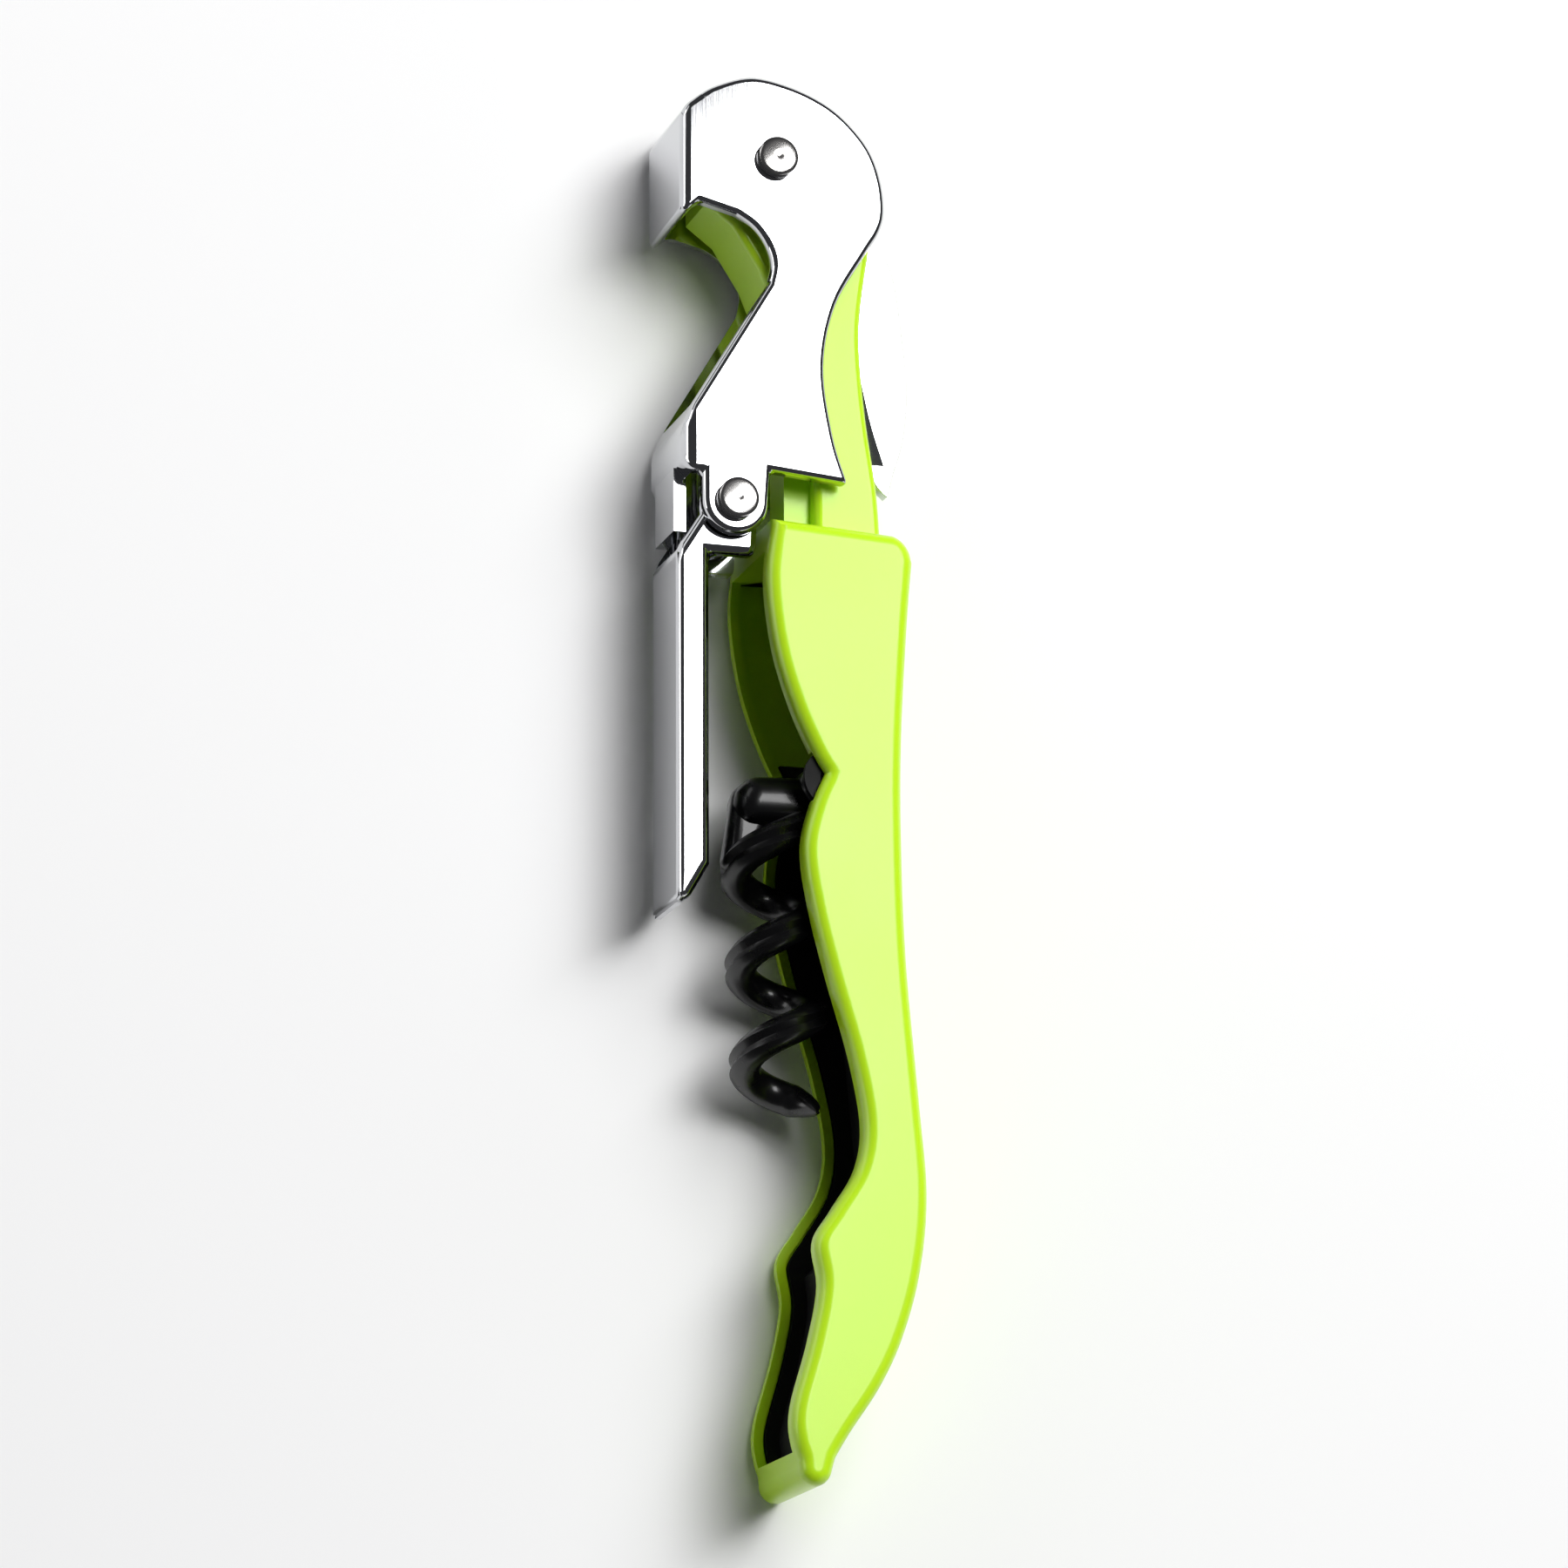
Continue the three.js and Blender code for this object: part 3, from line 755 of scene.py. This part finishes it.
@dataclass
class Grip:
    """Moulded grip with its neck, and the steel liner inside it."""

    half: float = 6.5
    wall: float = 1.0
    lip: float = 0.8
    rim: float = 1.15
    spine_wall: float = 1.2
    swell: float = 0.35
    liner_gap: float = 0.25
    liner_wall: float = 0.55
    liner_floor: float = 0.8
    neck_half: float = 3.5
    neck_rim: float = 0.7
    tongue_half: float = 2.0
    slot_half: float = 0.95
    bay_depth: float = 1.0
    washer_radius: float = 3.2
    bore: float = 1.4
    ear: float = 2.65
    roof: float = -35.4
    tail_floor: float = -112.2
    tail_fill: float = -92.0
    ear_top: float = -51.5
    relief: float = 6.6
    worm_pivot: Point = (4.9, -55.0)
    spine: list[Point] = field(default_factory=lambda: smooth([
        (11.6, -34.9), (11, -41.6), (10.4, -51.6), (10.3, -60), (10.6, -70.5),
        (11.6, -82.4), (12.2, -90.4), (11.5, -97), (9.9, -102.5), (7.9, -106.6),
        (5.2, -110.6), (3.2, -114)], 66))
    belly: list[Point] = field(default_factory=lambda: smooth([
        (-0.6, -32.7), (-1.2, -38), (-0.5, -44), (1, -49), (2.8, -53), (3.9, -54.8)], 30)
        + smooth([
            (3.9, -54.8), (2.7, -57.6), (1.9, -61.5), (2.6, -66.5), (4.1, -72.4), (6, -79),
            (7, -84.6), (6.4, -88.5), (4.3, -92), (2.7, -94.8), (3.1, -98.5),
            (2.2, -103.2), (0.7, -108.6), (0.8, -111.6), (1.9, -114.4)], 90)[1:])

    def outline(self) -> list[Point]:
        """Returns the grip's closed outline."""
        return (arc((9.5, -35.5), 2.3, 75, 12, 8) + between(beside(self.spine, self.swell), -113.2, -35.6)
                + arc((2.65, -113.6), 1.4, -20, -185, 10)
                + between(self.belly, -113.0, 0)[::-1])

    def neck(self) -> list[Point]:
        """Returns the neck's closed outline, from the head round to the grip."""
        return (arc((0, 0), 6.1, -25, 200, 40)
                + [(-5.7, -3.9), (-3.3, -5.7), (-0.9, -9.5), (0.3, -12.5), (1.3, -18),
                   (1.6, -26.3), (3.9, -27.2), (3.9, -34.5), (9.9, -34.5)]
                + smooth([(9.9, -32.8), (9.6, -28.4), (8.7, -22.1), (8.2, -15.8),
                          (8.4, -11.8), (9.2, -6.5)], 20))

    def knife_slot(self) -> list[Point]:
        """Returns the outline of the slot that takes the blade."""
        return [(-7, 12), (-7, -1.5), (-4.6, -3.6), (-0.6, -6), (0.6, -5.7), (2.9, -7.2),
                (4.8, -11.2), (6.4, -16.4), (7.7, -22), (9.3, -27), (9.8, -29.2),
                (20, -29.2), (20, 12)]

    def region(self, name: str, front: float | None, back: float, half: float,
               top: float, bottom: float) -> bpy.types.Object:
        """Returns the part of the grip between its belly and its spine.

        Args:
            name: The new solid's name.
            front: Depth behind the belly, or nothing where it is open past the belly.
            back: Depth in front of the spine.
            half: Half of its thickness.
            top: Where it is cut off towards the head.
            bottom: Where it is cut off towards the tail.
        """
        first = (beside(self.belly, front) if front is not None
                 else [(-12.0, -10.0), (-12.0, -120.0)])
        if front is not None:
            first = between(first, bottom - 0.2, 0)
        second = between(beside(self.spine, -back), bottom - 0.2, 0)
        solid = Bench.trace(name, first + second[::-1], -half, half)
        Bench.combine(solid, Combine.KEEP,
                      Bench.block("limits", (-30, BIG), (bottom, top), (-BIG, BIG)))
        return solid

    def build_shell(self) -> bpy.types.Object:
        """Models the grip and neck as one moulding."""
        shell = Bench.trace("grip_moulding", self.outline(), -self.half, self.half)
        Bench.bevel(shell, on_rim(self.half), self.rim, 5)
        neck = Bench.trace("neck", self.neck(), -self.neck_half, self.neck_half)
        Bench.bevel(neck, on_rim(self.neck_half), self.neck_rim, 4)
        tongue = Bench.block("tongue", (1.6, 7), (-34.5, -24), (-self.tongue_half, self.tongue_half))
        Bench.combine(shell, Combine.JOIN, neck, tongue)
        bay = self.half - self.wall
        mouth = bay - self.liner_gap - self.liner_wall
        mouth_cut = self.region("mouth", None, self.spine_wall, mouth, self.roof, self.tail_floor)
        bay_cut = self.region("bay", self.lip, self.spine_wall, bay, self.roof, self.tail_floor)
        Bench.combine(
            shell, Combine.CUT, mouth_cut, bay_cut,
            Bench.pin("ear_bay", self.worm_pivot, self.ear + 0.3, -bay, bay),
            Bench.trace("slot", self.knife_slot(), -self.slot_half, self.slot_half),
            Bench.pin("spacer_bay", (0, 0), self.washer_radius + 0.4,
                      -self.slot_half - self.bay_depth, self.slot_half + self.bay_depth),
            Bench.pin("bore", (0, 0), self.bore, -BIG, BIG))
        Bench.round_edges(shell, 0.18, 2, 50)
        Bench.shade(shell, 50)
        return shell

    def build_liner(self) -> bpy.types.Object:
        """Models the bent steel liner with its two ears."""
        outer = self.half - self.wall - self.liner_gap
        inner = outer - self.liner_wall
        depth = self.lip + self.liner_gap
        back = self.spine_wall + self.liner_gap
        floor = back + self.liner_floor
        liner = self.region("steel_liner", depth, back, outer, self.roof - 0.3,
                            self.tail_floor + 0.3)
        Bench.combine(liner, Combine.JOIN, Bench.pin("ears", self.worm_pivot, self.ear, -outer, outer))
        tail = ([(-12.0, self.tail_fill + 1), (-12.0, -118.0)]
                + between(beside(self.belly, depth + 1.2), -113, -96)[::-1]
                + [(8.6, self.tail_fill), (8.6, self.tail_fill + 1)])
        Bench.combine(
            liner, Combine.CUT,
            self.region("inside", None, floor, inner, self.roof + 1, self.tail_fill),
            Bench.trace("tail_slot", tail, 0.04 - inner, inner - 0.04),
            Bench.block("relief", (-12, self.relief), (self.ear_top, 0), (-BIG, BIG)),
            Bench.pin("pin_hole", self.worm_pivot, 1.25, -BIG, BIG))
        Bench.round_edges(liner, 0.1, 2, 40)
        Bench.shade(liner, 40)
        return liner

    def build(self, lime: bpy.types.Material, black: bpy.types.Material) -> None:
        """Models, dresses and mounts the grip's pieces."""
        fit(self.build_shell(), Body.HANDLE, Slot.GRIP, lime, "handle_shell")
        fit(self.build_liner(), Body.HANDLE, Slot.LINER, black, "core_channel")


# ---------------------------------------------------------------- the lever


@dataclass
class Lever:
    """The two chromed stages, bent from sheet."""

    front: float = -8.5
    first_half: float = 5.45
    first_sheet: float = 1.1
    second_half: float = 4.05
    second_sheet: float = 1.0
    inner_fold: float = 0.4
    inner_edge: float = 0.12
    first_edge: float = 0.55
    second_edge: float = 0.85
    bore: float = 1.4
    first_folds: tuple[tuple[float, float, float], ...] = ((-10, 10, 1.0), (-30, -20, 1.8))
    second_folds: tuple[tuple[float, float, float], ...] = ((-80, 0, 0.75),)
    knee: Point = (-3.7, -31.2)
    tongue_end: float = -33.6
    tongue_half: float = 2.75
    knee_clear: float = -35.35

    def first_side(self) -> list[Point]:
        """Returns the first stage's side outline, with the cap-lifter notch."""
        return ([(self.front, 4)]
                + smooth([(-6.9, 5.3), (-5.4, 6.3), (-2.3, 7.4), (0.8, 7.1), (3.9, 6.05),
                          (6.3, 4.5), (8.5, 2.0), (9.6, -0.8), (9.9, -3.7), (9.4, -5.7),
                          (8.1, -7.9), (5.4, -12.8), (4.3, -18.5), (5.1, -24.7),
                          (6.4, -28.9)], 98)[:-3]
                + [(6.4, -28.9)]
                + [(-0.6, -28.3)]
                + arc(self.knee, 2.9, 0, -180, 28)
                + [(-6.6, -28.8), (self.front, -28.8), (self.front, -24.5)]
                + smooth([(-0.7, -11.3), (-0.4, -9.5), (-0.9, -7.8), (-2, -6.3),
                          (-3.6, -5.3)], 24)
                + [(-6.9, -4.5), (self.front, -6)])

    def second_side(self) -> list[Point]:
        """Returns the second stage's side outline."""
        return ([(self.front, -66.2), (-7.6, -66.2), (-5.6, -62.8), (-5.6, -35.6),
                 (-1.4, -35.6)] + arc(self.knee, 2.8, -30, 180, 32)
                + [(-6.5, -32.2), (self.front, -35.4)])

    def channel(self, name: str, outline: list[Point], half: float, sheet: float,
                rounding: float, folds: Sequence[tuple[float, float, float]],
                *holes: Point) -> bpy.types.Object:
        """Models a channel: a slab with rounded folds, hollowed out from its open side.

        Args:
            name: The new piece's name.
            outline: Its side outline.
            half: Half of its width.
            sheet: Its sheet thickness.
            rounding: The radius of its outer edges.
            folds: The two ends and the outer radius of each fold.
            holes: Where its rivet holes are.

        Returns:
            The channel.
        """
        piece = Bench.trace(name, outline, -half, half)
        for low, high, radius in folds:
            Bench.bevel(piece, on_fold(self.front, half, low, high), radius, 7)
        Bench.bevel(piece, is_sharp, rounding, 4)
        hollow = Bench.block("hollow", (self.front + sheet, BIG), (-80, 20),
                             (-half + sheet, half - sheet))
        Bench.bevel(hollow, on_fold(self.front + sheet, half - sheet), self.inner_fold, 3)
        Bench.combine(piece, Combine.CUT, hollow,
                      *[Bench.pin("hole", p, self.bore, -BIG, BIG) for p in holes])
        return piece

    def build(self, chrome: bpy.types.Material) -> None:
        """Models, dresses and mounts both stages."""
        first = self.channel("first_stage_sheet", self.first_side(), self.first_half,
                             self.first_sheet, self.first_edge, self.first_folds,
                             (0, 0), self.knee)
        tongue = Bench.block("tongue", (self.front, self.front + self.first_sheet),
                             (self.tongue_end, -28), (-self.tongue_half, self.tongue_half))
        Bench.combine(first, Combine.JOIN, tongue)
        Bench.round_edges(first, self.inner_edge, 2, 45)
        Bench.shade(first, 45)
        fit(first, Body.FIRST_STAGE, Slot.CHROME, chrome, "lever_first_stage")
        second = self.channel("second_stage_sheet", self.second_side(), self.second_half,
                              self.second_sheet, self.second_edge, self.second_folds,
                              self.knee)
        inner = self.second_half - self.second_sheet
        Bench.combine(second, Combine.CUT,
                      Bench.block("clear", (-BIG, BIG), (self.knee_clear, 0), (-inner, inner)))
        Bench.round_edges(second, self.inner_edge, 2, 45)
        Bench.shade(second, 45)
        fit(second, Body.SECOND_STAGE, Slot.CHROME, chrome, "lever_second_stage")


# ---------------------------------------------------------------- the worm


@dataclass
class Worm:
    """Black wire worm: hub, shank, and turns that taper to a point."""

    top: Point = (0.8, -61.9)
    tilt: float = 2.4
    radius: float = 2.95
    wire: float = 1.4
    sides: int = 28
    groove: tuple[float, float] = (0.5, 0.3)
    pitch: float = 8.3
    begin: float = 0.95
    end: float = -5.2
    point_turns: float = 0.36
    steps_per_half: int = 24
    hub_half: float = 2.7
    hub_round: float = 1.95
    shank_round: float = 1.15
    eye_half: float = 3.1
    pivot: Point = (4.9, -55.0)
    eye: float = 2.1
    bore: float = 1.25

    def build_wire(self) -> bpy.types.Object:
        """Winds the grooved wire upright at the origin, draws its point and lays it down."""
        lean = math.atan(self.pitch / (math.tau * self.radius))
        Bench.clear()
        bpy.ops.mesh.primitive_circle_add(
            vertices=self.sides, radius=self.wire * MM, location=(0, 0, self.radius * MM),
            rotation=(0, -math.pi / 2, lean))
        wire = bpy.context.object
        wire.name = "worm_wire"
        bpy.ops.object.transform_apply(location=True, rotation=True, scale=True)
        step = math.tau / self.sides
        floor, shoulder = self.groove
        for low, high, depth in ((-0.5, 0.5, floor), (0.5, 1.5, shoulder)):
            top = self.radius + self.wire * math.cos(low * step)
            bottom = self.radius + self.wire * math.cos(high * step)
            Bench.pick(wire, "VERT", lambda v: bottom < v.co.z / MM <= max(top, self.radius
                       + self.wire * 1.001) if low < 0 else bottom < v.co.z / MM <= top)
            bpy.ops.transform.translate(value=(0, 0, -depth * MM))
        Bench.edit(wire)
        bpy.ops.mesh.select_all(action="SELECT")
        bpy.ops.mesh.edge_face_add()
        bpy.ops.mesh.select_all(action="SELECT")
        Bench.roll(self.begin * math.pi, "Y")
        rise = self.pitch * (self.begin + 0.5) / 2
        bpy.ops.transform.translate(value=(0, rise * MM, 0))
        turn = -math.pi / self.steps_per_half
        drop = self.pitch * turn / math.tau * MM
        body_steps = round((self.begin - self.end) * self.steps_per_half)
        point_steps = round(self.point_turns * self.steps_per_half)
        angle = self.begin * math.pi
        share = 1.0
        for i in range(body_steps + point_steps):
            bpy.ops.mesh.extrude_region_move(TRANSFORM_OT_translate={"value": (0, drop, 0)})
            Bench.roll(turn, "Y")
            angle += turn
            rise += drop / MM
            if i >= body_steps:
                left = 1 - (i + 1 - body_steps) / point_steps
                wanted = max(0.05, left ** 0.7)
                middle = (self.radius * math.sin(angle) * MM, rise * MM,
                          self.radius * math.cos(angle) * MM)
                ratio = wanted / share
                bpy.ops.transform.resize(value=(ratio, ratio, ratio), center_override=middle)
                share = wanted
        Bench.take(wire)
        wire.rotation_euler = (0, 0, math.radians(self.tilt))
        wire.location = place(*self.top)
        return Bench.done(wire)

    def build_hub(self) -> bpy.types.Object:
        """Models the forged hub with its eye and the shank into the first turn."""
        hub = Bench.trace("worm_coated", [(-2.4, -54.3), (5.6, -54.0), (5.6, -58.6),
                                          (-2.9, -58.6)], -self.hub_half, self.hub_half)
        Bench.bevel(hub, is_sharp, self.hub_round, 6)
        eye = Bench.pin("eye", self.pivot, self.eye, -self.eye_half, self.eye_half)
        Bench.bevel(eye, is_sharp, 0.8, 4)
        shank = Bench.trace("shank", [(-2.5, -54.8), (0.6, -54.8), (0.4, -58.6), (-0.9, -62.4),
                                      (-3.7, -62.4)], -self.wire, self.wire)
        Bench.bevel(shank, is_sharp, self.shank_round, 5)
        Bench.combine(hub, Combine.JOIN, eye, shank)
        return hub

    def build(self, black: bpy.types.Material) -> None:
        """Models, dresses and mounts the worm."""
        worm = self.build_hub()
        Bench.combine(worm, Combine.JOIN, self.build_wire())
        Bench.combine(worm, Combine.CUT,
                      Bench.pin("bore", self.pivot, self.bore, -BIG, BIG))
        Bench.shade(worm, 40)
        fit(worm, Body.WORM, Slot.WORM, black, "worm")


# ---------------------------------------------------------------- the knife


@dataclass
class Knife:
    """Short curved foil blade with a ground edge."""

    half: float = 0.6
    tang: float = 5.0
    bore: float = 1.4
    bevel: float = 1.6
    ground: tuple[int, int] = (4, 29)
    spread: float = 1.6
    slope: float = 0.9
    headroom: float = 2.5
    rounding: float = 0.14
    shade_angle: float = 12

    @staticmethod
    def cutting_edge() -> list[Point]:
        """Returns the run of the cutting edge, from the tang to the tip."""
        return smooth([(1.6, -5.3), (3.9, -7.6), (5.6, -11.4), (7.2, -16.4), (8.5, -22),
                       (10.1, -26.6), (11.4, -28.2)], 36)

    def outline(self) -> list[Point]:
        """Returns the blade's outline, from the tang down its edge and up its back."""
        return (arc((0, 0), self.tang, -31, 250, 56) + self.cutting_edge()
                + smooth([(12, -25.9), (12.9, -22.8), (13.3, -18.4), (12.9, -13.5),
                          (12.2, -8.4), (11.2, -5.8)], 24)
                + [(7.4, -4.4)])

    def grind(self, side: int) -> bpy.types.Object:
        """Models the wedge that grinds one side of the cutting edge away.

        Args:
            side: 1 for the upper side, -1 for the lower.

        Returns:
            The wedge, swept along the edge by extruding step by step.
        """
        first, last = self.ground
        run = self.cutting_edge()[first:last]
        x, y = run[0]
        Bench.clear()
        bpy.ops.mesh.primitive_plane_add(size=MM, location=place(x, y, 0))
        wedge = bpy.context.object
        wedge.name = "grind"
        Bench.edit(wedge)
        bpy.ops.mesh.select_all(action="SELECT")
        bpy.ops.mesh.merge(type="CENTER")
        start = {"value": (self.bevel * MM, 0, side * self.half * MM)}
        bpy.ops.transform.translate(**start)
        width = self.spread * self.bevel
        depth = self.slope * self.half * self.spread
        for step_x, step_z in ((-width, -depth), (0, self.headroom), (width, 0)):
            step = {"value": (step_x * MM, 0, side * step_z * MM)}
            bpy.ops.mesh.extrude_vertices_move(TRANSFORM_OT_translate=step)
        bpy.ops.mesh.select_all(action="SELECT")
        bpy.ops.mesh.edge_face_add()
        for (x0, y0), (x1, y1) in zip(run, run[1:]):
            step = {"value": ((x1 - x0) * MM, (y1 - y0) * MM, 0)}
            bpy.ops.mesh.extrude_region_move(TRANSFORM_OT_translate=step)
        return Bench.done(wedge)

    def build(self, steel: bpy.types.Material) -> None:
        """Models, dresses and mounts the blade."""
        blade = Bench.trace("foil_blade", self.outline(), -self.half, self.half)
        Bench.combine(blade, Combine.CUT, self.grind(1), self.grind(-1))
        Bench.combine(blade, Combine.CUT, Bench.pin("bore", (0, 0), self.bore, -BIG, BIG))
        Bench.round_edges(blade, self.rounding, 2, 45)
        Bench.shade(blade, self.shade_angle)
        fit(blade, Body.KNIFE, Slot.BLADE, steel, "knife_blade")


# ---------------------------------------------------------------- rivets and springs


@dataclass
class Rivets:
    """The two rivets that the lever turns on, with low peened heads."""

    shank: float = 1.1
    head: float = 1.75
    under: float = 5.52
    shoulder: float = 6.26
    top: float = 6.5

    def profile(self) -> list[Point]:
        """Returns a rivet's closed profile, with a shallow dimple in each head."""
        dome = [(self.shank, self.under), (self.head - 0.08, self.under),
                (self.head, self.under + 0.08), (self.head, self.shoulder),
                (self.head - 0.1, self.shoulder + 0.1)]
        rise = self.top - self.shoulder - 0.1
        dome += [(self.head * k, self.top - rise * k * k) for k in (0.82, 0.66, 0.5, 0.34, 0.2)]
        dome += [(self.head * 0.12, self.top - 0.04), (0.0, self.top - 0.06)]
        return [(r, -z) for r, z in dome[::-1]] + dome

    def build(self, metal: bpy.types.Material, knee: Point) -> None:
        """Models, dresses and mounts both rivets."""
        for name, centre, body in (("head_rivet", (0.0, 0.0), Body.HANDLE),
                                   ("knee_rivet", knee, Body.FIRST_STAGE)):
            rivet = Bench.turned(name + "_peened", self.profile(), centre)
            Bench.shade(rivet, 40)
            fit(rivet, body, Slot.RIVET, metal, name)


@dataclass
class KneeSpring:
    """Spring wire wound round the knee sleeve, with a straight leg at each end."""

    knee: Point = (-3.7, -31.2)
    radius: float = 2.75
    wire: float = 0.3
    half: float = 2.2
    turns: int = 4
    steps: int = 28
    lower_leg: float = 7.6
    upper_leg: float = 6.0

    def build(self, steel: bpy.types.Material) -> None:
        """Models, dresses and mounts the spring."""
        Bench.clear()
        x, y = self.knee
        start = place(x - self.radius, y - self.lower_leg, -self.half)
        bpy.ops.mesh.primitive_circle_add(vertices=12, radius=self.wire * MM, location=start,
                                          rotation=(-math.pi / 2, 0, 0), fill_type="NGON")
        spring = bpy.context.object
        spring.name = "knee_spring_wire"
        bpy.ops.object.transform_apply(location=True, rotation=True, scale=True)
        Bench.edit(spring)
        bpy.ops.mesh.select_all(action="SELECT")
        rise = {"value": (0, self.lower_leg * MM, 0)}
        bpy.ops.mesh.extrude_region_move(TRANSFORM_OT_translate=rise)
        count = self.turns * self.steps
        for _ in range(count):
            lift = {"value": (0, 0, 2 * self.half * MM / count)}
            bpy.ops.mesh.extrude_region_move(TRANSFORM_OT_translate=lift)
            Bench.roll(-math.tau / self.steps, "Z", place(x, y))
        rise = {"value": (0, self.upper_leg * MM, 0)}
        bpy.ops.mesh.extrude_region_move(TRANSFORM_OT_translate=rise)
        Bench.done(spring)
        Bench.shade(spring, 40)
        fit(spring, Body.FIRST_STAGE, Slot.SPRING, steel, "knee_spring")


# ---------------------------------------------------------------- small inner pieces


@dataclass(frozen=True)
class InnerPieces:
    """Washers, spacers, pins and the leaf spring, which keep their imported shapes."""

    spring: tuple[str, ...] = ("head_washer_near", "head_washer_far", "leaf_spring",
                               "leaf_spring_rivet_1", "leaf_spring_rivet_2")
    brass: tuple[str, ...] = ("knife_spacer_near", "knife_spacer_far")
    nylon: tuple[str, ...] = ("worm_spacer_near", "worm_spacer_far")
    plated: tuple[str, ...] = ("knee_sleeve", "worm_pin")

    def build(self, made: dict[str, bpy.types.Material]) -> None:
        """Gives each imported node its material.

        Args:
            made: The materials by finish.
        """
        for finish, names in (("spring", self.spring), ("brass", self.brass),
                              ("nylon", self.nylon), ("rivet", self.plated)):
            for name in names:
                dress(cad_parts[name], made[finish])
                LOG.info("%s: packed node dressed in %s", name, finish)


# ---------------------------------------------------------------- the studio


@dataclass(frozen=True)
class Studio:
    """Camera, pale floor and soft lights."""

    azimuth: float = -48.8
    elevation: float = 67.0
    roll: float = -0.35
    distance: float = 0.5
    lens: float = 135.0
    target: tuple[float, float, float] = (-0.00031, -0.00058, 0.0065)
    floor_size: float = 6.0

    def view_axes(self) -> Matrix:
        """Returns the camera's right, up and back axes."""
        az, el = math.radians(self.azimuth), math.radians(self.elevation)
        back = Vector((math.sin(az) * math.cos(el), -math.cos(az) * math.cos(el), math.sin(el)))
        up = (Vector((0, 1, 0)) - back * back.y).normalized()
        right = up.cross(back)
        turn = Matrix.Rotation(math.radians(self.roll), 3, back)
        return Matrix((turn @ right, turn @ up, back)).transposed()

    def camera(self) -> None:
        """Adds the camera and makes it the scene's."""
        data = bpy.data.cameras.new("camera")
        data.lens = self.lens
        data.sensor_width = 36.0
        data.clip_start = 0.01
        camera = bpy.data.objects.new("camera", data)
        bpy.context.scene.collection.objects.link(camera)
        axes = self.view_axes()
        back = axes.col[2]
        camera.matrix_world = (Matrix.Translation(Vector(self.target) + back * self.distance)
                               @ axes.to_4x4())
        bpy.context.scene.camera = camera

    def floor(self) -> None:
        """Adds the pale floor."""
        Bench.clear()
        bpy.ops.mesh.primitive_plane_add(size=self.floor_size, location=(0, 0, -0.00005))
        floor = bpy.context.object
        floor.name = "floor"
        material, _, surface = new_material("floor_white")
        surface.inputs["Base Color"].default_value = (0.93, 0.93, 0.93, 1)
        surface.inputs["Roughness"].default_value = 0.9
        surface.inputs["Specular IOR Level"].default_value = 0.1
        dress(floor, material)

    @staticmethod
    def softbox(name: str, at: tuple[float, float, float], size: tuple[float, float],
                radiance: float, mirrored: bool = True, shines: bool = True) -> None:
        """Adds a rectangular soft light that faces the tool.

        Args:
            name: Its name.
            at: Where it stands, in metres.
            size: Its two sides, in metres.
            radiance: How bright its face is.
            mirrored: Whether polished surfaces show it.
            shines: Whether it lights matt surfaces.
        """
        data = bpy.data.lights.new(name, "AREA")
        data.shape = "RECTANGLE"
        data.size, data.size_y = size
        data.energy = radiance * math.pi * size[0] * size[1]
        light = bpy.data.objects.new(name, data)
        light.location = at
        light.rotation_euler = Vector(at).to_track_quat("Z", "Y").to_euler()
        light.visible_glossy = mirrored
        light.visible_diffuse = shines
        bpy.context.scene.collection.objects.link(light)

    def world(self) -> None:
        """Sets a dim neutral surround and a plain display."""
        world = bpy.data.worlds.new("surround")
        world.use_nodes = True
        background = world.node_tree.nodes["Background"]
        background.inputs["Color"].default_value = (0.05, 0.05, 0.053, 1)
        bpy.context.scene.world = world
        bpy.context.scene.view_settings.view_transform = "Standard"

    def build(self) -> None:
        """Sets up the whole studio."""
        self.camera()
        self.floor()
        self.world()
        self.softbox("key", (0.256, 0.22, 0.8), (0.26, 0.52), 7.5)
        self.softbox("strip", (-0.95, 0.28, 0.2), (0.9, 0.34), 2.4, shines=False)
        self.softbox("overhead", (0.4, 0.62, 0.95), (0.9, 0.9), 5.0, mirrored=False)
        self.softbox("back_left", (-0.62, 0.62, 0.4), (0.5, 0.3), 1.0)
        self.softbox("front_right", (0.68, -0.68, 0.26), (0.6, 0.3), 1.0)


# ---------------------------------------------------------------- assembly


def main() -> None:
    """Builds the tool and its studio."""
    logging.basicConfig(level=logging.INFO, format="%(message)s")
    Studio().build()
    finishes = Finishes()
    made = {name: getattr(finishes, name).make() for name in Finishes.__dataclass_fields__}
    lever = Lever()
    Grip().build(made["lime"], made["liner"])
    lever.build(made["chrome"])
    Worm().build(made["worm"])
    Knife().build(made["blade"])
    Rivets().build(made["rivet"], lever.knee)
    KneeSpring().build(made["spring"])
    InnerPieces().build(made)


if __name__ == "__main__":
    main()
